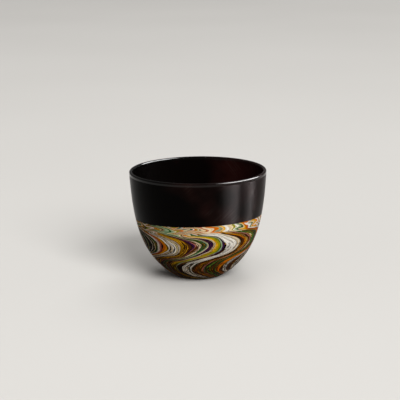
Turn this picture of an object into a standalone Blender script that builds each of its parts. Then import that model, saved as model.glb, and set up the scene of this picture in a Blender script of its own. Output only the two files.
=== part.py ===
"""A lacquered sake cup: a turned wood core inside black and marbled lacquer coats.

The cup stands on the XY plane. Its axis is +Z and the origin is at the centre of its foot.
Every piece is turned about that axis. The border between the black and the marbled coat was
laid on by hand and leans a little, so both coats are cut from turned skins by a tilted plane.
"""

import math

import bmesh
import bpy
from mathutils import Matrix, Vector

MM = 0.001

# Outside form: a curve from the rim, where the wall leans in slightly, to the edge of the base
RIM_DIAMETER = 66.0 * MM
HEIGHT = 52.0 * MM
BASE_DIAMETER = 22.0 * MM
RIM_LEAN = math.radians(3.7)
RIM_HANDLE = 21.2 * MM
BASE_RISE = math.radians(29.0)
BASE_HANDLE = 21.2 * MM

# Lacquer coats, and the ground of clay and lacquer that beds them on the wood
OUTER_COAT = 0.4 * MM
LINING_COAT = 0.35 * MM
FOOT_COAT = 0.5 * MM
BOND_GAP = 0.2 * MM
LIP_HEIGHT = 1.6 * MM

# Wood core: thin at its upper edge, thicker down the wall, thickest at the floor
CORE_EDGE = 0.45 * MM
CORE_FLOOR = 3.0 * MM
WALL_TAPER = math.radians(2.3)
WALL_TURN = 5.5 * MM
LINING_HANDLE = 24.0 * MM

# Underside: a flat ring to stand on, round a shallow recess
STANDING_RING = 3.0 * MM
RECESS_DEPTH = 0.7 * MM

# Border between the black and the marbled coat: its height on the axis, its lean, and the
# direction in which it rises, counted from +X
BORDER_HEIGHT = 29.8 * MM
BORDER_TILT = math.radians(2.8)
BORDER_RISE_DIRECTION = math.radians(-60.0)

# Fineness of the turned surfaces
SIDES = 64
CURVE_STATIONS = 14
LIP_ARC_STEPS = 7
MERGE_DISTANCE = 0.01 * MM
BISECTIONS = 50
SHORTEST_STEP = 0.2
CUTTER_REACH = 3.0

# Sizes that follow from those above
RIM_RADIUS = RIM_DIAMETER / 2
BASE_RADIUS = BASE_DIAMETER / 2
LIP_THICKNESS = OUTER_COAT + CORE_EDGE + LINING_COAT + 2 * BOND_GAP
LIP_RADIUS = LIP_THICKNESS / 2
LIP_UNDERSIDE = HEIGHT - LIP_HEIGHT
SEAT_HEIGHT = LIP_UNDERSIDE - BOND_GAP
RECESS_RADIUS = BASE_RADIUS - STANDING_RING
FOOT_TOP = FOOT_COAT
FOOT_PLUG_TOP = RECESS_DEPTH + FOOT_COAT
FOOT_PLUG_RADIUS = RECESS_RADIUS + FOOT_COAT
CORE_UNDERSIDE = FOOT_PLUG_TOP + BOND_GAP
INSIDE_FLOOR = CORE_UNDERSIDE + CORE_FLOOR + BOND_GAP + LINING_COAT


class Profile:
    """A cubic curve in the plane of radius and height, with points set to one side of it."""

    def __init__(self, start, start_handle, end_handle, end, depth_side):
        self.controls = [Vector(p) for p in (start, start_handle, end_handle, end)]
        self.depth_side = depth_side

    def point(self, t, depth=0.0):
        """The point at t, moved by depth into the wall, square to the curve."""
        a, b, c, d = self.controls
        s = 1 - t
        on_curve = s**3 * a + 3 * s * s * t * b + 3 * s * t * t * c + t**3 * d
        along = (s * s * (b - a) + 2 * s * t * (c - b) + t * t * (d - c)).normalized()
        into_wall = Vector((along.y, -along.x)) * self.depth_side
        return on_curve + into_wall * depth

    def station_at(self, height, depth):
        """The t at which the curve, moved by depth, passes this height on its way down."""
        low, high = 0.0, 1.0
        for _ in range(BISECTIONS):
            middle = (low + high) / 2
            if self.point(middle, depth).y > height:
                low = middle
            else:
                high = middle
        return (low + high) / 2

    def run(self, first, last, depth=0.0):
        """Points from station first to station last, at the stations that all runs share."""
        shared = [k / CURVE_STATIONS for k in range(CURVE_STATIONS + 1)]
        clear = SHORTEST_STEP / CURVE_STATIONS
        low, high = sorted((first, last))
        chosen = [t for t in shared if low + clear < t < high - clear]
        if first > last:
            chosen.reverse()
        return [self.point(t, depth) for t in [first, *chosen, last]]


def slope(angle, length):
    """A step down and inwards, at this angle from the vertical."""
    return Vector((-math.sin(angle), -math.cos(angle))) * length


LIP_CENTRE = Vector((RIM_RADIUS - LIP_RADIUS, HEIGHT - LIP_RADIUS))
INNER_LEAN = RIM_LEAN + WALL_TAPER


def outside_profile():
    """The outer face, from under the lip to the edge of the base."""
    start = LIP_CENTRE + Vector((math.cos(RIM_LEAN), -math.sin(RIM_LEAN))) * LIP_RADIUS
    end = Vector((BASE_RADIUS, 0.0))
    rise = Vector((math.cos(BASE_RISE), math.sin(BASE_RISE)))
    return Profile(
        start, start + slope(RIM_LEAN, RIM_HANDLE), end + rise * BASE_HANDLE, end, 1
    )


def inside_profile(outside):
    """The inner face, from the lip to the middle of the floor."""
    start = LIP_CENTRE + Vector((-math.cos(INNER_LEAN), math.sin(INNER_LEAN))) * LIP_RADIUS
    turn = Vector((outside.controls[2].x - WALL_TURN, INSIDE_FLOOR))
    end = Vector((0.0, INSIDE_FLOOR))
    return Profile(start, start + slope(INNER_LEAN, LINING_HANDLE), turn, end, -1)


OUTSIDE = outside_profile()
INSIDE = inside_profile(OUTSIDE)


def lip_outline():
    """A rounded edge with a flat underside that sits on the coats and the core."""
    outer_foot = OUTSIDE.station_at(LIP_UNDERSIDE, 0.0)
    inner_foot = INSIDE.station_at(LIP_UNDERSIDE, 0.0)
    first, last = math.pi - INNER_LEAN, -RIM_LEAN
    crown = []
    for k in range(1, LIP_ARC_STEPS):
        angle = first + (last - first) * k / LIP_ARC_STEPS
        crown.append(LIP_CENTRE + Vector((math.cos(angle), math.sin(angle))) * LIP_RADIUS)
    return crown + OUTSIDE.run(0.0, outer_foot) + INSIDE.run(inner_foot, 0.0)


def outer_skin_outline():
    """Both outer coats as one skin, from under the lip to just above the foot."""
    foot = FOOT_TOP + BOND_GAP
    outer = [OUTSIDE.station_at(z, 0.0) for z in (SEAT_HEIGHT, foot)]
    inner = [OUTSIDE.station_at(z, OUTER_COAT) for z in (foot, SEAT_HEIGHT)]
    return OUTSIDE.run(*outer) + OUTSIDE.run(*inner, OUTER_COAT)


def lining_outline():
    """The coat on the inside, whose ends lie on the axis at the floor."""
    face = INSIDE.station_at(SEAT_HEIGHT, 0.0)
    back = INSIDE.station_at(SEAT_HEIGHT, LINING_COAT)
    return INSIDE.run(1.0, face) + INSIDE.run(back, 1.0, LINING_COAT)


def core_outline():
    """The turned wood, kept clear of every coat by the ground."""
    inner_depth = LINING_COAT + BOND_GAP
    outer_depth = OUTER_COAT + BOND_GAP
    standing = FOOT_TOP + BOND_GAP
    plug = FOOT_PLUG_RADIUS + BOND_GAP
    inner_top = INSIDE.station_at(SEAT_HEIGHT, inner_depth)
    outer_top = OUTSIDE.station_at(SEAT_HEIGHT, outer_depth)
    outer_foot = OUTSIDE.station_at(standing, outer_depth)
    underside = [(plug, standing), (plug, CORE_UNDERSIDE), (0.0, CORE_UNDERSIDE)]
    return (
        INSIDE.run(1.0, inner_top, inner_depth)
        + OUTSIDE.run(outer_top, outer_foot, outer_depth)
        + [Vector(p) for p in underside]
    )


def foot_outline():
    """The coat under the base: a ring to stand on, and a recess that it lines."""
    edge = OUTSIDE.station_at(FOOT_TOP, 0.0)
    top = [(0.0, FOOT_PLUG_TOP), (FOOT_PLUG_RADIUS, FOOT_PLUG_TOP), (FOOT_PLUG_RADIUS, FOOT_TOP)]
    below = [(RECESS_RADIUS, 0.0), (RECESS_RADIUS, RECESS_DEPTH), (0.0, RECESS_DEPTH)]
    return [Vector(p) for p in top] + OUTSIDE.run(edge, 1.0) + [Vector(p) for p in below]


def clear_scene():
    for obj in list(bpy.data.objects):
        bpy.data.objects.remove(obj)


def new_collection(name):
    collection = bpy.data.collections.new(name)
    bpy.context.scene.collection.children.link(collection)
    return collection


def finish(name, colour, roughness):
    """A plain material of this colour and gloss."""
    material = bpy.data.materials.new(name)
    material.use_nodes = True
    shader = material.node_tree.nodes["Principled BSDF"]
    shader.inputs["Base Color"].default_value = (*colour, 1.0)
    shader.inputs["Roughness"].default_value = roughness
    shader.inputs["Metallic"].default_value = 0.0
    return material


def turned(name, outline, material, collection, parent):
    """The outline, in radius and height, turned about the axis into one solid."""
    mesh = bpy.data.meshes.new(name)
    shape = bmesh.new()
    corners = [shape.verts.new((p.x, 0.0, p.y)) for p in outline]
    for a, b in zip(corners, corners[1:]):
        shape.edges.new((a, b))
    if outline[0].x > MERGE_DISTANCE:
        shape.edges.new((corners[-1], corners[0]))
    shape.to_mesh(mesh)
    shape.free()
    piece = bpy.data.objects.new(name, mesh)
    piece.data.materials.append(material)
    piece.parent = parent
    collection.objects.link(piece)
    screw = piece.modifiers.new("turn", "SCREW")
    screw.axis = "Z"
    screw.angle = 2 * math.pi
    screw.steps = SIDES
    screw.render_steps = SIDES
    screw.use_merge_vertices = True
    screw.merge_threshold = MERGE_DISTANCE
    screw.use_smooth_shade = True
    return piece


def border_cutter(name, upwards, collection):
    """A block with one face on the border, half a bond gap past it; upwards is 1 or -1."""
    side = CUTTER_REACH * (HEIGHT + RIM_DIAMETER)
    mesh = bpy.data.meshes.new(name)
    shape = bmesh.new()
    bmesh.ops.create_cube(shape, size=side)
    shape.to_mesh(mesh)
    shape.free()
    block = bpy.data.objects.new(name, mesh)
    hinge = Vector((math.sin(BORDER_RISE_DIRECTION), -math.cos(BORDER_RISE_DIRECTION), 0.0))
    lean = Matrix.Rotation(BORDER_TILT, 4, hinge)
    shift = Matrix.Translation((0.0, 0.0, upwards * (side - BOND_GAP) / 2))
    block.matrix_world = Matrix.Translation((0.0, 0.0, BORDER_HEIGHT)) @ lean @ shift
    block.hide_render = True
    block.display_type = "WIRE"
    collection.objects.link(block)
    return block


def cut_away(piece, cutter):
    cut = piece.modifiers.new("border", "BOOLEAN")
    cut.operation = "DIFFERENCE"
    cut.object = cutter


clear_scene()
cup = new_collection("sake_cup")
cutters = new_collection("cutters")
axis = bpy.data.objects.new("cup_axis", None)
cup.objects.link(axis)

wood = finish("turned_wood", (0.52, 0.36, 0.22), 0.6)
black_lacquer = finish("black_lacquer", (0.012, 0.008, 0.007), 0.1)
lining_lacquer = finish("lining_lacquer", (0.014, 0.006, 0.005), 0.1)
marbled_lacquer = finish("marbled_lacquer", (0.42, 0.33, 0.20), 0.2)

turned("wood_core", core_outline(), wood, cup, axis)
turned("inner_lining", lining_outline(), lining_lacquer, cup, axis)
turned("lip_edge", lip_outline(), black_lacquer, cup, axis)
turned("foot_coat", foot_outline(), black_lacquer, cup, axis)

upper_band = turned("upper_band", outer_skin_outline(), black_lacquer, cup, axis)
cut_away(upper_band, border_cutter("below_border", -1, cutters))
marbled_band = turned("marbled_band", outer_skin_outline(), marbled_lacquer, cup, axis)
cut_away(marbled_band, border_cutter("above_border", 1, cutters))
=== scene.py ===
"""The looks of a lacquered sake cup, put together from its wooden core outwards."""

import math

import bmesh
import bpy
from mathutils import Matrix, Vector
from mathutils.geometry import interpolate_bezier


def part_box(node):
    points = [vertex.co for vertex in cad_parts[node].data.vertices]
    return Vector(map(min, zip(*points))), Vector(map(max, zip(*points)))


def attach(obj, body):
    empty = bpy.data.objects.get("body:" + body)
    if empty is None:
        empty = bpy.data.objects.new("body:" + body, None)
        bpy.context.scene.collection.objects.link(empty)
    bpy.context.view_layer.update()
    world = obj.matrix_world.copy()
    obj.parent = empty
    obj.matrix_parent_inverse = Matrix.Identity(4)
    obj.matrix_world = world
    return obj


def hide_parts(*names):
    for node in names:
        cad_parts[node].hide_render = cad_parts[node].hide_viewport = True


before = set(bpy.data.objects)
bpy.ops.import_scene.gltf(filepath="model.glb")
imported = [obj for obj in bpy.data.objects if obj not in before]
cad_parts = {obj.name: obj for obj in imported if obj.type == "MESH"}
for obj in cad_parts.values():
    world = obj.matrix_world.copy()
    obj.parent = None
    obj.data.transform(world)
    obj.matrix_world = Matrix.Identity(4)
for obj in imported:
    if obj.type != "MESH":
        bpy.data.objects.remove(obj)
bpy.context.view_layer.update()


# Wood core
# The body of the cup, turned on a lathe from one block of straight-grained wood and sealed with
# raw lacquer. The coats hide all of it.
def add(tree, kind, inputs=(), **settings):
    """A shader node with these settings; each input is linked to a socket or set to a value."""
    made = tree.nodes.new("ShaderNode" + kind)
    for name, value in settings.items():
        setattr(made, name, value)
    for name, value in dict(inputs).items():
        if isinstance(value, bpy.types.NodeSocket):
            tree.links.new(value, made.inputs[name])
        else:
            made.inputs[name].default_value = value
    return made


def calc(tree, operation, *values):
    """The result of a Math node on sockets and numbers."""
    return add(tree, "Math", enumerate(values), operation=operation).outputs[0]


def spread(tree, value, low, high, to_low=0.0, to_high=1.0):
    """A value eased from one range to another, and held at its ends."""
    inputs = {"Value": value, "From Min": low, "From Max": high, "To Min": to_low, "To Max": to_high}
    made = add(tree, "MapRange", inputs, interpolation_type="SMOOTHSTEP")
    return made.outputs["Result"]


def noise(tree, place, scale=1.0, detail=1.0, roughness=0.5):
    """Smooth noise from 0 to 1 at a place."""
    inputs = {"Vector": place, "Scale": scale, "Detail": detail, "Roughness": roughness}
    return add(tree, "TexNoise", inputs).outputs["Fac"]


def tint(tree, share, first, second):
    """The first colour turning into the second as share goes from 0 to 1."""
    # A Mix node's colour sockets go by number, because its number sockets have the same names
    made = add(tree, "Mix", {0: share, 6: first, 7: second}, data_type="RGBA")
    return made.outputs[2]


def new_finish(name, **sockets):
    """A material whose Principled shader has these plain values, with its tree and shader."""
    material = bpy.data.materials.new(name)
    material.use_nodes = True
    tree = material.node_tree
    shader = tree.nodes["Principled BSDF"]
    for socket, value in sockets.items():
        shader.inputs[socket.replace("_", " ")].default_value = value
    return material, tree, shader


EARLY_WOOD = (0.60, 0.42, 0.25, 1.0)
LATE_WOOD = (0.36, 0.21, 0.11, 1.0)
RING_SPACING = 0.0016
RING_WARP = 0.006
ALONG_GRAIN = (1.0, 1.0, 0.08)
GRAIN_SCALE = 90.0
GRAIN_RANGE = (0.2, 0.8)
LATE_WOOD_STARTS = 0.3
WOOD_ROUGHNESS = (0.5, 0.7)

wood_finish, tree, shader = new_finish("sealed_wood")
place = add(tree, "TexCoord").outputs["Object"]
warp = noise(tree, add(tree, "Mapping", {"Vector": place, "Scale": ALONG_GRAIN}).outputs[0], GRAIN_SCALE)
across = add(tree, "SeparateXYZ", {0: place}).outputs["X"]
warped = calc(tree, "MULTIPLY_ADD", warp, RING_WARP, across)
rings = calc(tree, "FRACT", calc(tree, "DIVIDE", warped, RING_SPACING))
wood_colour = tint(tree, spread(tree, rings, LATE_WOOD_STARTS, 1.0), EARLY_WOOD, LATE_WOOD)
tree.links.new(wood_colour, shader.inputs["Base Color"])
tree.links.new(spread(tree, warp, *GRAIN_RANGE, *WOOD_ROUGHNESS), shader.inputs["Roughness"])
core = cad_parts["wood_core"]
core.data.materials.clear()
core.data.materials.append(wood_finish)


# Inner lining
# The coat of dark red-black lacquer on the inside, brushed on, polished and thin. It runs from
# under the lip down the wall and over the floor in one skin.
RIM_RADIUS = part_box("lip_edge")[1].x
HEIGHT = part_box("lip_edge")[1].z
LIP_RADIUS = 0.0008
INNER_LEAN = math.radians(6.0)
INNER_RIM_HANDLE = 0.024
INNER_FLOOR_HANDLE = 0.024
LINING_THICKNESS = 0.00035
CURVE_POINTS = 96
TURN_STEPS = 256
MERGE = 0.00001
SHARP = math.radians(35.0)

lip_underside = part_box("lip_edge")[0].z
floor_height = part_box("inner_lining")[0].z + LINING_THICKNESS
lip_centre = Vector((RIM_RADIUS - LIP_RADIUS, HEIGHT - LIP_RADIUS))


def arm(angle, length):
    """A step down and inwards, at this angle from the vertical."""
    return Vector((-math.sin(angle), -math.cos(angle))) * length


def turn(outline):
    """A bmesh turned about the cup's axis from points of radius and height."""
    shape = bmesh.new()
    corners = [shape.verts.new((p[0], 0.0, p[1])) for p in outline]
    sides = [shape.edges.new(pair) for pair in zip(corners, corners[1:])]
    bmesh.ops.spin(
        shape, geom=corners + sides, cent=(0, 0, 0), axis=(0, 0, 1),
        angle=2 * math.pi, steps=TURN_STEPS, use_merge=True,
    )
    bmesh.ops.remove_doubles(shape, verts=shape.verts, dist=MERGE)
    bmesh.ops.recalc_face_normals(shape, faces=shape.faces)
    return shape


def cut(shape, height, keep, normal=Vector((0.0, 0.0, 1.0))):
    """Cuts a shape by a plane through the axis at a height; keep is "above" or "below"."""
    everything = shape.verts[:] + shape.edges[:] + shape.faces[:]
    bmesh.ops.bisect_plane(
        shape, geom=everything, dist=MERGE / 10, plane_co=(0, 0, height), plane_no=normal,
        clear_inner=keep == "above", clear_outer=keep == "below",
    )


def thicken(shape, depth, outward):
    """Gives an open skin its wall behind its face; outward says which way the face looks."""
    face = max(shape.faces, key=lambda f: f.calc_center_median().z)
    middle = face.calc_center_median()
    looks_out = face.normal.dot(Vector((middle.x, middle.y, 0.0))) > 0
    if looks_out != outward:
        bmesh.ops.reverse_faces(shape, faces=shape.faces)
    bmesh.ops.solidify(shape, geom=shape.faces[:], thickness=depth)


def piece(name, shape, finish, node):
    """The finished object, which stands for one CAD node."""
    mesh = bpy.data.meshes.new(name)
    shape.to_mesh(mesh)
    shape.free()
    mesh.shade_smooth()
    mesh.set_sharp_from_angle(angle=SHARP)
    mesh.materials.append(finish)
    made = bpy.data.objects.new(name, mesh)
    bpy.context.scene.collection.objects.link(made)
    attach(made, "root")
    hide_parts(node)
    return made


def round_the_axis(tree):
    """The angle about the axis, 0 at the front and rising to the right, and the height."""
    parts = add(tree, "SeparateXYZ", {0: add(tree, "TexCoord").outputs["Object"]}).outputs
    return calc(tree, "ARCTAN2", parts["X"], calc(tree, "MULTIPLY", parts["Y"], -1.0)), parts["Z"]


def along_flow(tree, angle, lift, fineness, pull):
    """A place for noise that is drawn out along lines of one angle; fineness is across them."""
    inputs = {
        0: calc(tree, "MULTIPLY", calc(tree, "COSINE", angle), fineness),
        1: calc(tree, "MULTIPLY", calc(tree, "SINE", angle), fineness),
        2: calc(tree, "MULTIPLY", lift, pull),
    }
    return add(tree, "CombineXYZ", inputs).outputs[0]


QUARTER_TURN = 0.25
MARK_DETAIL = 3.0
# Where the coat is thin, in spots; the extra warmth that grows towards the right is painted warm light
THIN_SPOTS = 38.0
PAINTED_LIGHT_SIDE = 9.0
THIN_AND_LIT_RANGE = (0.48, 0.8)
# Fine rings left by the polishing, and slanting marks left by a cloth
RING_MARKS = {"fineness": 1.5, "pull": 2600.0}
RING_ROUGHNESS = 0.65
WIPE_MARKS = {"fineness": 46.0, "pull": 90.0}
WIPE_ROUGHNESS = 0.6
WIPE_SLANT = -35.0
DULL_WIPES = (0.5, 0.62)
# The pale colour of the wipe marks, laid mostly on the right side: real wipe marks with a painted sheen
PALE_WIPES_AND_SHEEN = (0.54, 0.64)
WIPED_AND_SHEEN = (0.075, 0.069, 0.063, 1.0)
WIPE_SHARE = 0.6
MARK_RANGE = (0.1, 0.8)
MARK_DEPTH = 0.00001
MARK_STRENGTH = 0.5
BRUSH_WAVES = 130.0
BRUSH_SHARE = 2.0
SLIGHT_WEAR = 0.1


def lacquer(name, deep, warm, dullness, wear=SLIGHT_WEAR, **sockets):
    """Polished lacquer: nearly black and marked by the polishing cloth; warmer in thinner spots, with
    painted warm light on the right side and a painted sheen on the wipe marks there.
    """
    finish, tree, shader = new_finish(name, Anisotropic_Rotation=QUARTER_TURN, **sockets)
    place = add(tree, "TexCoord").outputs["Object"]
    angle, height = round_the_axis(tree)
    right = add(tree, "SeparateXYZ", {0: place}).outputs["X"]
    # Thinner spots of coat, plus painted warm light that grows towards the right side
    thin_and_lit = calc(tree, "MULTIPLY_ADD", right, PAINTED_LIGHT_SIDE, noise(tree, place, THIN_SPOTS, MARK_DETAIL))
    thinness_and_lit_side = spread(tree, thin_and_lit, *THIN_AND_LIT_RANGE)

    ring_flow = along_flow(tree, angle, height, **RING_MARKS)
    rings = noise(tree, ring_flow, 1.0, MARK_DETAIL, RING_ROUGHNESS)
    slanted = calc(tree, "MULTIPLY_ADD", height, WIPE_SLANT, angle)
    wipe_flow = along_flow(tree, slanted, height, **WIPE_MARKS)
    wipes = noise(tree, wipe_flow, 1.0, MARK_DETAIL, WIPE_ROUGHNESS)

    # Pale wipe marks where the right side is lit: a painted sheen on real wipe marks
    thinnest_and_lit_side = calc(tree, "MULTIPLY", thinness_and_lit_side, thinness_and_lit_side)
    wipes_and_sheen = calc(tree, "MULTIPLY", spread(tree, wipes, *PALE_WIPES_AND_SHEEN), thinnest_and_lit_side)
    unwiped = tint(tree, thinness_and_lit_side, deep, warm)
    colour = tint(tree, calc(tree, "MULTIPLY", wipes_and_sheen, wear), unwiped, WIPED_AND_SHEEN)
    tree.links.new(colour, shader.inputs["Base Color"])

    dull_wipes = calc(tree, "MULTIPLY", spread(tree, wipes, *DULL_WIPES), thinness_and_lit_side)
    ring_share = calc(tree, "MULTIPLY", rings, 1.0 - WIPE_SHARE)
    marks = calc(tree, "MULTIPLY_ADD", dull_wipes, WIPE_SHARE, ring_share)
    rough = spread(tree, marks, *MARK_RANGE, (1.0 - wear) * dullness, (1.0 + wear) * dullness)
    tree.links.new(rough, shader.inputs["Roughness"])

    waves = calc(tree, "MULTIPLY_ADD", noise(tree, place, BRUSH_WAVES), BRUSH_SHARE, marks)
    bump = add(tree, "Bump", {"Strength": MARK_STRENGTH, "Distance": MARK_DEPTH, "Height": waves})
    tree.links.new(bump.outputs["Normal"], shader.inputs["Normal"])
    tangent = add(tree, "Tangent", direction_type="RADIAL", axis="Z").outputs["Tangent"]
    tree.links.new(tangent, shader.inputs["Tangent"])
    return finish


LINING_DEEP = (0.0012, 0.0007, 0.0006, 1.0)
# The warm colour shows in thinner spots of coat and as painted warm light on the right side
LINING_WARM = (0.013, 0.0030, 0.0024, 1.0)
LINING_DULLNESS = 0.24
LINING_GLOSS = 0.03

inner_start = lip_centre + Vector((-math.cos(INNER_LEAN), math.sin(INNER_LEAN))) * LIP_RADIUS
inner_curve = interpolate_bezier(
    inner_start,
    inner_start + arm(INNER_LEAN, INNER_RIM_HANDLE),
    Vector((INNER_FLOOR_HANDLE, floor_height)),
    Vector((0.0, floor_height)),
    CURVE_POINTS,
)
lining_shape = turn(inner_curve)
cut(lining_shape, lip_underside, "below")
thicken(lining_shape, LINING_THICKNESS, outward=False)
lining_finish = lacquer(
    "red_black_lacquer", LINING_DEEP, LINING_WARM, LINING_DULLNESS, Specular_IOR_Level=LINING_GLOSS,
)
lining = piece("lining_skin", lining_shape, lining_finish, "inner_lining")


# Upper band
# The black coat on the outside, from under the lip down to a border that was masked by hand and
# leans a little. It is polished round and round, so a light in it is drawn out up and down.
RIM_LEAN = math.radians(3.7)
RIM_HANDLE = 0.0212
BASE_RADIUS = 0.011
BASE_RISE = math.radians(29.0)
BASE_HANDLE = 0.0212
COAT_THICKNESS = 0.0004
BORDER_HEIGHT = 0.0298
BORDER_TILT = math.radians(2.8)
BORDER_RISE_DIRECTION = math.radians(-60.0)
BLACK_DEEP = (0.0008, 0.0005, 0.0004, 1.0)
# The warm colour shows in thinner spots of coat and as painted warm light on the right side
BLACK_WARM = (0.011, 0.0036, 0.0030, 1.0)
BAND_DULLNESS = 0.375
BAND_WEAR = 0.24
BAND_GLOSS = 0.025

outer_start = lip_centre + Vector((math.cos(RIM_LEAN), -math.sin(RIM_LEAN))) * LIP_RADIUS
base_edge = Vector((BASE_RADIUS, 0.0))
outer_curve = interpolate_bezier(
    outer_start,
    outer_start + arm(RIM_LEAN, RIM_HANDLE),
    base_edge + Vector((math.cos(BASE_RISE), math.sin(BASE_RISE))) * BASE_HANDLE,
    base_edge,
    CURVE_POINTS,
)
rise = Vector((math.cos(BORDER_RISE_DIRECTION), math.sin(BORDER_RISE_DIRECTION), 0.0))
border_normal = Vector((0.0, 0.0, math.cos(BORDER_TILT))) - rise * math.sin(BORDER_TILT)

band_shape = turn(outer_curve)
cut(band_shape, lip_underside, "below")
cut(band_shape, BORDER_HEIGHT, "above", border_normal)
thicken(band_shape, COAT_THICKNESS, outward=True)
band_finish = lacquer(
    "black_lacquer", BLACK_DEEP, BLACK_WARM, BAND_DULLNESS, BAND_WEAR,
    Specular_IOR_Level=BAND_GLOSS, Anisotropic=1.0,
)
band = piece("upper_band_skin", band_shape, band_finish, "upper_band")


# Lip
# The edge of the cup, built up with black lacquer into a full round so that it is kind to the
# mouth, and polished brightest. It covers the upper edges of the wood, the lining and the band.
LIP_ARC_STEPS = 24
LIP_DULLNESS = 0.14
LIP_GLOSS = 0.2

lip_outline = []
for k in range(LIP_ARC_STEPS + 1):
    bend = math.pi - INNER_LEAN + (INNER_LEAN - RIM_LEAN - math.pi) * k / LIP_ARC_STEPS
    lip_outline.append(lip_centre + Vector((math.cos(bend), math.sin(bend))) * LIP_RADIUS)
inner_side = [p for p in inner_curve[1:] if p.y > lip_underside - LIP_RADIUS]
outer_side = [p for p in outer_curve[1:] if p.y > lip_underside - LIP_RADIUS]
lip_shape = turn(inner_side[::-1] + lip_outline + outer_side)
cut(lip_shape, lip_underside, "above")
open_edges = [edge for edge in lip_shape.edges if edge.is_boundary]
bmesh.ops.bridge_loops(lip_shape, edges=open_edges)
bmesh.ops.recalc_face_normals(lip_shape, faces=lip_shape.faces)
lip_finish = lacquer(
    "bright_black_lacquer", BLACK_DEEP, BLACK_WARM, LIP_DULLNESS, Specular_IOR_Level=LIP_GLOSS,
)
lip = piece("lip_round", lip_shape, lip_finish, "lip_edge")


# Marbled band
# The lower coat. Lacquers of many colours were laid side by side down the cup, drawn sideways in
# one long wave and combed to and fro under the border, then covered clear and polished flush.
WHITE = (0.82, 0.79, 0.71, 1.0)
CREAM = (0.71, 0.56, 0.34, 1.0)
TAN = (0.27, 0.19, 0.085, 1.0)
YELLOW = (0.72, 0.38, 0.008, 1.0)
GOLD = (0.48, 0.21, 0.003, 1.0)
ORANGE = (0.64, 0.145, 0.003, 1.0)
LIME = (0.26, 0.25, 0.004, 1.0)
GREEN = (0.018, 0.085, 0.012, 1.0)
FERN = (0.10, 0.21, 0.022, 1.0)
TEAL = (0.006, 0.036, 0.024, 1.0)
MINT = (0.26, 0.36, 0.21, 1.0)
ROSE = (0.40, 0.13, 0.10, 1.0)
VIOLET = (0.036, 0.009, 0.042, 1.0)
BROWN = (0.065, 0.020, 0.004, 1.0)
BLACK = (0.0035, 0.0030, 0.0025, 1.0)

# Colours that were poured together, each with its width in degrees round the cup. The widths are
# fitted to the full round, which changes them by one part in a hundred.
POURS = {
    "night": (
        (BLACK, 6.4), (GREEN, 1.0), (MINT, 1.8), (BLACK, 5.0), (WHITE, 1.6), (TEAL, 1.2), (BLACK, 2.0),
        (CREAM, 1.4), (GREEN, 2.8), (TEAL, 1.0), (BLACK, 1.0), (WHITE, 1.2),
    ),
    "rose": ((ROSE, 1.8), (VIOLET, 1.0)),
    "fire": ((ORANGE, 4.4), (YELLOW, 0.8), (GOLD, 1.4)),
    "grain": (
        (WHITE, 1.4), (BLACK, 0.6), (CREAM, 1.4), (BROWN, 0.5), (WHITE, 1.2), (BLACK, 0.7), (WHITE, 1.6),
        (TAN, 0.7), (LIME, 0.5), (CREAM, 1.4), (BLACK, 0.7), (WHITE, 1.0), (TAN, 0.8), (CREAM, 1.0),
        (BLACK, 0.6),
    ),
    "earth": (
        (BROWN, 1.2), (GOLD, 0.8), (BROWN, 0.6), (YELLOW, 0.9), (BROWN, 0.5), (GOLD, 0.8), (YELLOW, 0.9),
        (BROWN, 0.9), (GOLD, 0.6), (BROWN, 1.4), (YELLOW, 0.5), (BROWN, 1.6), (BLACK, 0.8),
    ),
    "plum": ((VIOLET, 1.3), (ROSE, 0.5), (BROWN, 1.3), (VIOLET, 1.0), (CREAM, 2.0), (BLACK, 0.4)),
    "leaf": ((GREEN, 2.4), (TEAL, 0.8), (MINT, 1.2), (CREAM, 0.8)),
    "dusk": (
        (BLACK, 0.5), (VIOLET, 2.0), (BROWN, 0.5), (VIOLET, 2.3), (BLACK, 0.6), (CREAM, 1.4),
        (TAN, 0.5), (CREAM, 0.7),
    ),
    "lime": (
        (YELLOW, 1.1), (GOLD, 0.7), (YELLOW, 0.9), (LIME, 3.4), (GREEN, 0.7), (MINT, 2.0),
        (VIOLET, 1.5), (BLACK, 1.0),
    ),
    "snow": (
        (WHITE, 7.9), (TAN, 0.4), (WHITE, 4.6), (BLACK, 0.4), (CREAM, 2.6), (WHITE, 0.8), (CREAM, 1.8),
    ),
    "bark": (
        (BLACK, 1.6), (BROWN, 2.0), (ORANGE, 1.0), (BROWN, 0.8), (GOLD, 2.4), (CREAM, 0.5), (BROWN, 1.3),
        (GOLD, 1.4), (BLACK, 0.7), (BROWN, 0.8), (ROSE, 1.8), (BROWN, 0.7), (CREAM, 0.8),
    ),
    "moss": (
        (BLACK, 1.2), (GREEN, 1.8), (FERN, 3.0), (TEAL, 1.6), (BLACK, 1.4), (FERN, 1.6), (BROWN, 1.8),
        (TEAL, 1.8), (GREEN, 1.6), (LIME, 0.8),
    ),
    "ember": ((BROWN, 1.0), (ORANGE, 6.0), (GOLD, 0.8), (BLACK, 1.2)),
    "frost": ((WHITE, 4.0), (BLACK, 0.5), (WHITE, 3.0), (TAN, 0.6)),
    "soil": ((BROWN, 4.0), (BLACK, 1.5), (BROWN, 3.0), (GOLD, 0.8), (BLACK, 2.0)),
}
# The pours in the order they lie round the cup
ORDER = (
    "night rose fire grain earth plum leaf dusk lime snow bark moss ember frost soil grain lime "
    "night rose snow earth leaf fire moss frost dusk bark ember leaf lime grain plum"
).split()
LAID_COLOURS = [stripe for pour in ORDER for stripe in POURS[pour]]
BEFORE_SNOW = [stripe for pour in ORDER[:ORDER.index("snow")] for stripe in POURS[pour]]
FIRST_COLOUR = math.radians(-67.0)
# A tongue of black that was drawn down along the snow: its depths in millimetres and its width
TONGUE_DEPTHS = (11.0, 16.0)
TONGUE_WIDTH = 5.0
# Low on the cup the cream, told from the rest by its blue, gives way to teal
CREAM_RISES = (0.25, 0.33)
CREAM_FALLS = (0.48, 0.6)
CREAM_LEAVES = (14.0, 20.0)
CREAM_LOSS = 0.9
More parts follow.
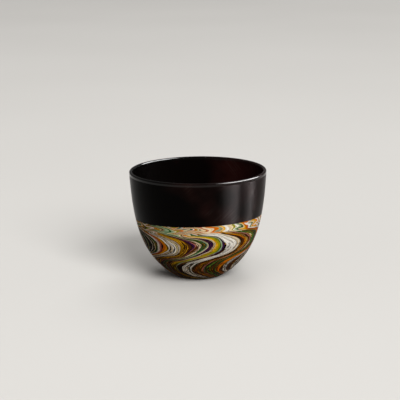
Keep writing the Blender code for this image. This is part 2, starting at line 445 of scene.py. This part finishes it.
# The thinner colours under the border, with their widths in degrees; they come round twice
BORDER_COLOURS = (
    (LIME, 2.2), (WHITE, 3.0), (CREAM, 4.0), (LIME, 2.5), (WHITE, 3.0), (ORANGE, 3.0), (TAN, 2.0),
    (MINT, 4.0), (GREEN, 1.5), (CREAM, 4.0), (BROWN, 1.5), (YELLOW, 4.0), (BROWN, 3.0), (TAN, 3.0),
    (BLACK, 0.8), (LIME, 2.0), (WHITE, 2.0), (ROSE, 1.2), (WHITE, 2.4), (BLACK, 1.0), (ORANGE, 2.6),
    (LIME, 2.0), (CREAM, 1.5), (BROWN, 2.0), (TAN, 3.5), (MINT, 4.5), (GREEN, 3.5), (MINT, 4.0),
    (CREAM, 2.0), (LIME, 2.5), (TAN, 2.8), (ORANGE, 2.2), (CREAM, 1.5), (GREEN, 2.5), (VIOLET, 0.6),
    (WHITE, 2.0), (ORANGE, 1.4), (GOLD, 1.6), (CREAM, 2.4), (TAN, 2.4), (CREAM, 3.0), (GOLD, 2.0),
    (ROSE, 1.2), (CREAM, 6.0), (ROSE, 0.8), (ORANGE, 4.2), (MINT, 2.2), (ROSE, 1.2), (CREAM, 2.4),
    (YELLOW, 2.6), (WHITE, 4.0), (CREAM, 3.0), (LIME, 3.4), (WHITE, 2.0), (LIME, 1.2), (MINT, 1.8),
    (GREEN, 1.6), (CREAM, 2.5), (YELLOW, 2.2), (ORANGE, 2.6), (ROSE, 1.0), (WHITE, 4.0), (GREEN, 1.4),
    (CREAM, 2.2), (YELLOW, 3.0), (ORANGE, 2.5), (WHITE, 3.0), (CREAM, 2.0), (GOLD, 3.0), (WHITE, 2.6),
    (GREEN, 1.2), (ORANGE, 3.0), (CREAM, 4.0),
)
BORDER_ROUNDS = 2.0
BORDER_RAGS = {"fineness": 18.0, "pull": 0.12}
RAG_SWING = 4.0
BORDER_EDGE = (3.8, 4.1)
MOST_STOPS = 32
# The wave, from the border down: depth in millimetres, and the way to the right in shares of its reach
WAVE = (
    (0.0, 0.34), (3.0, 0.36), (4.4, 0.52), (6.0, 0.78), (8.0, 0.93), (10.5, 1.0), (12.5, 0.97),
    (14.5, 0.87), (18.0, 0.40), (21.0, 0.05), (25.5, -0.07), (30.0, 0.11), (36.0, 0.85),
)
WAVE_SPAN = WAVE[-1][0]
WAVE_REACH = 0.86
# The reach changes from place to place, and the depth wanders by millimetres
WAVE_CHANGE = 0.08
WAVE_CHANGE_SCALE = 60.0
WAVE_CHANGE_RANGE = (0.25, 0.75)
WANDER = 3.0
WANDER_SCALE = 40.0
# The comb's strokes to and fro, widest at the left of the front and uneven from patch to patch
COMB_STEP = 3.0
COMB_MIDDLE = 0.64
COMB_FADES = (3.0, 5.0)
COMB_LEAST = 0.10
COMB_MOST = 0.36
COMB_WIDEST = math.radians(-50.0)
COMB_SIDE = 0.45
COMB_SHAKE = 3.8
COMB_SHAKE_SCALE = 130.0
COMB_PATCHES = 140.0
COMB_PATCH_RANGE = (0.3, 0.65)
COMB_PATCH_WIDTHS = (0.35, 1.5)
WAVER = 0.03
WAVER_SCALE = 160.0
# How the stripes swell, feather and fray along the wave: fineness, pull and swing
SWELLINGS = ((7.0, 0.03, 0.12), (24.0, 0.09, 0.05), (60.0, 0.3, 0.035))
FLOW_DETAIL = 2.0
# Threads of one colour drawn out in another: seed, fineness, pull, threshold, where and colour.
# They lie in the pale colours, in the dark ones, or in all that are low on the cup.
THREADS = (
    (124.0, 26.0, 0.10, 0.59, "pale", BLACK),
    (308.0, 30.0, 0.12, 0.61, "pale", TAN),
    (212.0, 40.0, 0.35, 0.58, "pale", BLACK),
    (1872.0, 34.0, 0.30, 0.61, "pale", BROWN),
    (452.0, 46.0, 0.18, 0.60, "dark", GOLD),
    (716.0, 34.0, 0.14, 0.67, "dark", CREAM),
    (928.0, 26.0, 0.12, 0.55, "dark", BLACK),
    (1176.0, 36.0, 0.16, 0.60, "dark", BROWN),
    (1408.0, 22.0, 0.08, 0.54, "low", BROWN),
    (1640.0, 30.0, 0.10, 0.57, "low", BLACK),
)
THREAD_ROUGHNESS = 0.6
THREAD_SOFTNESS = 0.03
THREAD_COVER = 0.95
# Where a colour counts as pale, and the depths in millimetres where threads thicken
PALE_FROM = (0.22, 0.4)
PALE_DEPTHS = (9.0, 14.0)
PALE_LEAST = 0.55
LOW_DEPTHS = (15.0, 23.0)
# Shades within a colour, and the fine strokes that are left in the clear coat
SHADE_FLOW = {"fineness": 20.0, "pull": 0.15}
SHADE_RANGE = (0.3, 0.7)
SHADES = (0.7, 1.1)
STROKE_FLOW = {"fineness": 60.0, "pull": 0.3}
STROKE_RANGE = (0.2, 0.8)
STROKE_STRENGTH = 0.2
MARBLED_ROUGHNESS = (0.2, 0.32)
MARBLED_GLOSS = 0.002


def stops(tree, share, colours):
    """A ramp of flat colours whose widths follow the list."""
    ramp = add(tree, "ValToRGB", {"Fac": share})
    ramp.color_ramp.interpolation = "CONSTANT"
    whole = sum(width for _, width in colours)
    start = 0.0
    for k, (colour, width) in enumerate(colours):
        stop = ramp.color_ramp.elements[0] if k == 0 else ramp.color_ramp.elements.new(start / whole)
        stop.color = colour
        start += width
    ramp.color_ramp.elements.remove(ramp.color_ramp.elements[len(colours)])
    return ramp.outputs["Color"]


def laid_colours(tree, share, colours):
    """The colours round the whole cup, in as many ramps as they need."""
    whole = sum(width for _, width in colours)
    groups = [colours[k:k + MOST_STOPS - 1] for k in range(0, len(colours), MOST_STOPS - 1)]
    mixed, start = None, 0
    for group in groups:
        width = sum(w for _, w in group)
        local = calc(tree, "DIVIDE", calc(tree, "SUBTRACT", share, start / whole), width / whole)
        found = stops(tree, local, group)
        started = calc(tree, "GREATER_THAN", share, start / whole)
        mixed = found if mixed is None else tint(tree, started, mixed, found)
        start += width
    return mixed


def sway(tree, value, swing, place, scale=1.0, detail=1.0):
    """A value moved to and fro by noise, by up to half of swing either way."""
    side = calc(tree, "SUBTRACT", noise(tree, place, scale, detail), 0.5)
    return calc(tree, "MULTIPLY_ADD", side, swing, value)


def marbling():
    """The colours as they were drawn over the cup, under a clear and polished coat."""
    finish, tree, shader = new_finish("marbled_lacquer", Specular_IOR_Level=MARBLED_GLOSS)
    place = add(tree, "TexCoord").outputs["Object"]
    angle, _ = round_the_axis(tree)
    below = add(tree, "Attribute", attribute_name="below_border").outputs["Fac"]
    depth = sway(tree, below, WANDER, place, WANDER_SCALE)

    # The long wave
    wave = add(tree, "FloatCurve", {"Value": calc(tree, "DIVIDE", depth, WAVE_SPAN)})
    line = wave.mapping.curves[0]
    leftmost = min(right for _, right in WAVE)
    points = [(down / WAVE_SPAN, (right - leftmost) / (1.0 - leftmost)) for down, right in WAVE]
    line.points[0].location = points[0]
    line.points[1].location = points[-1]
    for point in points[1:-1]:
        line.points.new(*point)
    wave.mapping.update()
    least = (1.0 - WAVE_CHANGE) * WAVE_REACH
    most = (1.0 + WAVE_CHANGE) * WAVE_REACH
    reach = spread(tree, noise(tree, place, WAVE_CHANGE_SCALE), *WAVE_CHANGE_RANGE, least, most)
    rightward = calc(tree, "MULTIPLY_ADD", wave.outputs["Value"], 1.0 - leftmost, leftmost)
    swept = calc(tree, "MULTIPLY", rightward, reach)

    # The strokes of the comb
    shaken = sway(tree, depth, COMB_SHAKE, place, COMB_SHAKE_SCALE)
    stroke = calc(tree, "SINE", calc(tree, "MULTIPLY", shaken, math.pi / COMB_STEP))
    comb = calc(tree, "SUBTRACT", calc(tree, "ABSOLUTE", stroke), COMB_MIDDLE)
    near_widest = calc(tree, "COSINE", calc(tree, "SUBTRACT", angle, COMB_WIDEST))
    width = spread(tree, near_widest, COMB_SIDE, 1.0, COMB_LEAST, COMB_MOST)
    patchy = spread(tree, noise(tree, place, COMB_PATCHES), *COMB_PATCH_RANGE, *COMB_PATCH_WIDTHS)
    fading = spread(tree, below, *COMB_FADES, 1.0, 0.0)
    combing = calc(tree, "MULTIPLY", width, calc(tree, "MULTIPLY", patchy, fading))
    waver = calc(tree, "MULTIPLY", noise(tree, place, WAVER_SCALE), WAVER)
    moved = calc(tree, "ADD", swept, calc(tree, "MULTIPLY_ADD", comb, combing, waver))
    drawn = calc(tree, "SUBTRACT", angle, moved)

    # The colours, where the wave and the comb have drawn them
    thick = drawn
    for fineness, pull, swing in SWELLINGS:
        flow = along_flow(tree, drawn, depth, fineness, pull)
        thick = sway(tree, thick, swing, flow, detail=FLOW_DETAIL)
    started = calc(tree, "ADD", thick, WAVE_REACH - FIRST_COLOUR)
    share = calc(tree, "FRACT", calc(tree, "DIVIDE", started, 2 * math.pi))
    colour = laid_colours(tree, share, LAID_COLOURS)

    blue = add(tree, "SeparateColor", {0: colour}).outputs["Blue"]
    cream = calc(tree, "SUBTRACT", spread(tree, blue, *CREAM_RISES), spread(tree, blue, *CREAM_FALLS))
    lost = calc(tree, "MULTIPLY", cream, spread(tree, depth, *CREAM_LEAVES, 0.0, CREAM_LOSS))
    colour = tint(tree, lost, colour, TEAL)

    whole = sum(width for _, width in LAID_COLOURS)
    into_snow = calc(tree, "SUBTRACT", share, sum(width for _, width in BEFORE_SNOW) / whole)
    tongue = spread(tree, depth, *TONGUE_DEPTHS, 0.0, TONGUE_WIDTH / whole)
    past_start = calc(tree, "GREATER_THAN", into_snow, 0.0)
    before_end = calc(tree, "LESS_THAN", into_snow, tongue)
    colour = tint(tree, calc(tree, "MULTIPLY", past_start, before_end), colour, BLACK)

    border_share = calc(tree, "FRACT", calc(tree, "MULTIPLY", share, BORDER_ROUNDS))
    border_colour = laid_colours(tree, border_share, BORDER_COLOURS)
    ragged = sway(tree, depth, RAG_SWING, along_flow(tree, drawn, depth, **BORDER_RAGS))
    past_border = spread(tree, ragged, *BORDER_EDGE)
    colour = tint(tree, past_border, border_colour, colour)

    # The threads
    bright = spread(tree, add(tree, "RGBToBW", {0: colour}).outputs[0], *PALE_FROM)
    grounds = {
        "pale": calc(tree, "MULTIPLY", bright, spread(tree, depth, *PALE_DEPTHS, PALE_LEAST, 1.0)),
        "dark": calc(tree, "SUBTRACT", 1.0, bright),
        "low": spread(tree, depth, *LOW_DEPTHS),
    }
    for seed, fineness, pull, threshold, ground, paint in THREADS:
        flow = along_flow(tree, thick, calc(tree, "ADD", depth, seed), fineness, pull)
        strands = noise(tree, flow, 1.0, FLOW_DETAIL, THREAD_ROUGHNESS)
        thread = spread(tree, strands, threshold, threshold + THREAD_SOFTNESS, 0.0, THREAD_COVER)
        laid = calc(tree, "MULTIPLY", thread, calc(tree, "MULTIPLY", grounds[ground], past_border))
        colour = tint(tree, laid, colour, paint)

    # The shades, and the clear coat
    shade = noise(tree, along_flow(tree, thick, depth, **SHADE_FLOW), 1.0, FLOW_DETAIL)
    brightness = spread(tree, shade, *SHADE_RANGE, *SHADES)
    shaded = add(tree, "HueSaturation", {"Color": colour, "Value": brightness})
    tree.links.new(shaded.outputs["Color"], shader.inputs["Base Color"])
    strokes = noise(tree, along_flow(tree, thick, depth, **STROKE_FLOW), 1.0, FLOW_DETAIL)
    tree.links.new(spread(tree, strokes, *STROKE_RANGE, *MARBLED_ROUGHNESS), shader.inputs["Roughness"])
    bump = add(tree, "Bump", {"Strength": STROKE_STRENGTH, "Distance": MARK_DEPTH, "Height": strokes})
    tree.links.new(bump.outputs["Normal"], shader.inputs["Normal"])
    return finish


MILLIMETRES = 1000.0


def distances_below_border(mesh):
    """For each point, the way down along the wall from the border, in millimetres."""
    walked = [0.0]
    for a, b in zip(outer_curve, outer_curve[1:]):
        walked.append(walked[-1] + (b - a).length)

    def down_to(height):
        for k in range(1, len(outer_curve)):
            upper, lower = outer_curve[k - 1].y, outer_curve[k].y
            if height >= lower:
                return walked[k] - (walked[k] - walked[k - 1]) * (height - lower) / (upper - lower)
        return walked[-1]

    found = []
    for point in mesh.vertices:
        lean = math.tan(BORDER_TILT) * Vector((point.co.x, point.co.y, 0.0)).dot(rise)
        found.append((down_to(point.co.z) - down_to(BORDER_HEIGHT + lean)) * MILLIMETRES)
    return found


FOOT_COAT = 0.0005

marbled_shape = turn(outer_curve)
cut(marbled_shape, BORDER_HEIGHT, "below", border_normal)
cut(marbled_shape, FOOT_COAT, "above")
thicken(marbled_shape, COAT_THICKNESS, outward=True)
marbled = piece("marbled_band_skin", marbled_shape, marbling(), "marbled_band")
distance = marbled.data.attributes.new("below_border", "FLOAT", "POINT")
distance.data.foreach_set("value", distances_below_border(marbled.data))


# Foot
# The coat under the base: a narrow flat ring that the cup stands on, dulled by use, round a
# shallow recess that still has its polish.
STANDING_RING = 0.003
RECESS_DEPTH = 0.0007
ROUNDING = 0.00015
ROUNDING_STEPS = 3
FOOT_DULLNESS = 0.35
FOOT_GLOSS = 0.3
SCUFFED = (0.050, 0.036, 0.028, 1.0)
SCUFF_REACH = 0.0001
SCUFF_SCALE = 900.0
SCUFF_DETAIL = 4.0
SCUFF_ROUGHNESS = 0.7
SCUFF_RANGE = (0.42, 0.62)
SCUFF_DULLING = 0.3

recess_radius = BASE_RADIUS - STANDING_RING
plug_top = RECESS_DEPTH + FOOT_COAT
foot_outline = [
    (0.0, plug_top),
    (recess_radius + FOOT_COAT, plug_top),
    (recess_radius + FOOT_COAT, FOOT_COAT),
    (BASE_RADIUS + FOOT_COAT / math.tan(BASE_RISE), FOOT_COAT),
    (BASE_RADIUS, 0.0),
    (recess_radius, 0.0),
    (recess_radius, RECESS_DEPTH),
    (0.0, RECESS_DEPTH),
]
foot_shape = turn(foot_outline)
lowest = [edge for edge in foot_shape.edges if max(v.co.z for v in edge.verts) < MERGE]
rims = [edge for edge in lowest if edge.calc_face_angle() > SHARP / 2]
bmesh.ops.bevel(
    foot_shape, geom=rims, offset=ROUNDING, affect="EDGES",
    segments=ROUNDING_STEPS, profile=0.5, material=-1,
)
foot_finish = lacquer(
    "worn_black_lacquer", BLACK_DEEP, BLACK_WARM, FOOT_DULLNESS, Specular_IOR_Level=FOOT_GLOSS,
)
tree = foot_finish.node_tree
shader = tree.nodes["Principled BSDF"]
place = add(tree, "TexCoord").outputs["Object"]
height = add(tree, "SeparateXYZ", {0: place}).outputs["Z"]
scuffing = noise(tree, place, SCUFF_SCALE, SCUFF_DETAIL, SCUFF_ROUGHNESS)
scuffs = spread(tree, scuffing, *SCUFF_RANGE)
worn = calc(tree, "MULTIPLY", scuffs, spread(tree, height, 0.0, SCUFF_REACH, 1.0, 0.0))
unworn = shader.inputs["Base Color"].links[0].from_socket
tree.links.new(tint(tree, worn, unworn, SCUFFED), shader.inputs["Base Color"])
smooth = shader.inputs["Roughness"].links[0].from_socket
tree.links.new(calc(tree, "MULTIPLY_ADD", worn, SCUFF_DULLING, smooth), shader.inputs["Roughness"])
piece("foot_ring", foot_shape, foot_finish, "foot_coat")


# Floor, light and camera
# A plain pale floor under soft light from the front, from behind and from overhead. A tall window
# on the right shows in the polished lacquer alone. A long lens looks down at the cup from the front.
FLOOR_SIZE = 20.0
FLOOR_COLOUR = (0.56, 0.545, 0.52, 1.0)
FLOOR_CLOUDS = (0.60, 0.585, 0.56, 1.0)
# The floor's colour where its light falls back on the cup
FLOOR_BOUNCE = (0.12, 0.08, 0.045, 1.0)
FLOOR_ROUGHNESS = 0.9
CLOUD_SCALE = 3.0

floor_finish, tree, shader = new_finish("pale_floor", Roughness=FLOOR_ROUGHNESS, Specular_IOR_Level=0.0)
cloud = noise(tree, add(tree, "TexCoord").outputs["Object"], CLOUD_SCALE)
ray = add(tree, "LightPath").outputs
seen = calc(tree, "MAXIMUM", ray["Is Camera Ray"], ray["Is Glossy Ray"])
seen = calc(tree, "MAXIMUM", seen, ray["Is Transmission Ray"])
pale = tint(tree, cloud, FLOOR_COLOUR, FLOOR_CLOUDS)
tree.links.new(tint(tree, seen, FLOOR_BOUNCE, pale), shader.inputs["Base Color"])
sheet = bmesh.new()
bmesh.ops.create_grid(sheet, x_segments=1, y_segments=1, size=FLOOR_SIZE / 2)
floor_mesh = bpy.data.meshes.new("floor")
sheet.to_mesh(floor_mesh)
sheet.free()
floor_mesh.materials.append(floor_finish)
floor = bpy.data.objects.new("floor", floor_mesh)
bpy.context.scene.collection.objects.link(floor)

AIM = Vector((0.0, 0.0, 0.03))


def window(name, azimuth, elevation, distance, size, power, lights=True, shows=True):
    """A soft rectangular lamp, which lights colours, shows in polished lacquer, or does both.

    Azimuth is counted from the front towards the right.
    """
    around, up = math.radians(azimuth), math.radians(elevation)
    away = Vector((math.sin(around) * math.cos(up), -math.cos(around) * math.cos(up), math.sin(up)))
    lamp = bpy.data.lights.new(name, "AREA")
    lamp.shape = "RECTANGLE"
    lamp.size, lamp.size_y = size
    lamp.energy = power
    made = bpy.data.objects.new(name, lamp)
    made.location = AIM + away * distance
    made.rotation_euler = away.to_track_quat("Z", "Y").to_euler()
    made.visible_diffuse = lights
    made.visible_glossy = shows
    bpy.context.scene.collection.objects.link(made)
    return made


def shown_by(name, *pieces):
    """A group of the only pieces that a lamp is to reach."""
    group = bpy.data.collections.new(name)
    for shown in pieces:
        group.objects.link(shown)
    return group


# The panes of the tall window as the upper band shows them: azimuth, width and power
PANES = (
    (53.0, 0.246, 37.0),
    (66.0, 0.235, 94.0),
    (92.2, 0.147, 3.5),
    (101.5, 0.175, 64.0),
    (112.2, 0.20, 6.0),
)
PANE_ELEVATION = 26.0
PANE_HEIGHT = 0.64
PANE_DISTANCE = 1.0
# The same window as the lip and the lining show it: name, azimuth, elevation and power
LIP_WINDOWS = (("window_near", 75.0, 45.0, 48.0), ("window_far", 107.0, 30.0, 34.0))
LIP_WINDOW_SIZE = (0.55, PANE_HEIGHT)
# The lamps that light the colours: name, azimuth, elevation, distance, width and power
SOFT_LAMPS = (
    ("window_broad", 25.0, 34.0, 7.0, 4.0, 662.0),
    ("window_back", 165.0, 50.0, 7.0, 3.9, 166.0),
    ("ceiling", 0.0, 80.0, 1.6, 1.2, 7.0),
)
SKY_COLOUR = (1.0, 0.98, 0.95, 1.0)
SKY_STRENGTH = 0.15

band_alone = shown_by("band_alone", band)
for k, (azimuth, width, power) in enumerate(PANES):
    size = (width, PANE_HEIGHT)
    pane = window(f"pane_{k}", azimuth, PANE_ELEVATION, PANE_DISTANCE, size, power, lights=False)
    pane.light_linking.receiver_collection = band_alone
lip_and_lining = shown_by("lip_and_lining", lip, lining)
for name, azimuth, elevation, power in LIP_WINDOWS:
    pane = window(name, azimuth, elevation, PANE_DISTANCE, LIP_WINDOW_SIZE, power, lights=False)
    pane.light_linking.receiver_collection = lip_and_lining
for name, azimuth, elevation, distance, width, power in SOFT_LAMPS:
    window(name, azimuth, elevation, distance, (width, width), power, shows=False)

sky = bpy.data.worlds.new("sky")
sky.use_nodes = True
sky.node_tree.nodes["Background"].inputs["Color"].default_value = SKY_COLOUR
sky.node_tree.nodes["Background"].inputs["Strength"].default_value = SKY_STRENGTH
bpy.context.scene.world = sky
bpy.context.scene.view_settings.view_transform = "Standard"

CAMERA_BACK = 0.581
CAMERA_UP = 0.1731
CAMERA_RIGHT = 0.0009
CAMERA_PITCH = math.radians(13.2)
CAMERA_ROLL = math.radians(0.7)
FOCAL_PIXELS = 1235.0
PICTURE_PIXELS = 400.0
SENSOR_WIDTH = 36.0

lens = bpy.data.cameras.new("camera")
lens.sensor_width = SENSOR_WIDTH
lens.lens = SENSOR_WIDTH * FOCAL_PIXELS / PICTURE_PIXELS
camera = bpy.data.objects.new("camera", lens)
camera.location = (CAMERA_RIGHT, -CAMERA_BACK, CAMERA_UP)
facing = Matrix.Rotation(math.pi / 2 - CAMERA_PITCH, 3, "X") @ Matrix.Rotation(-CAMERA_ROLL, 3, "Z")
camera.rotation_euler = facing.to_euler()
bpy.context.scene.collection.objects.link(camera)
bpy.context.scene.camera = camera
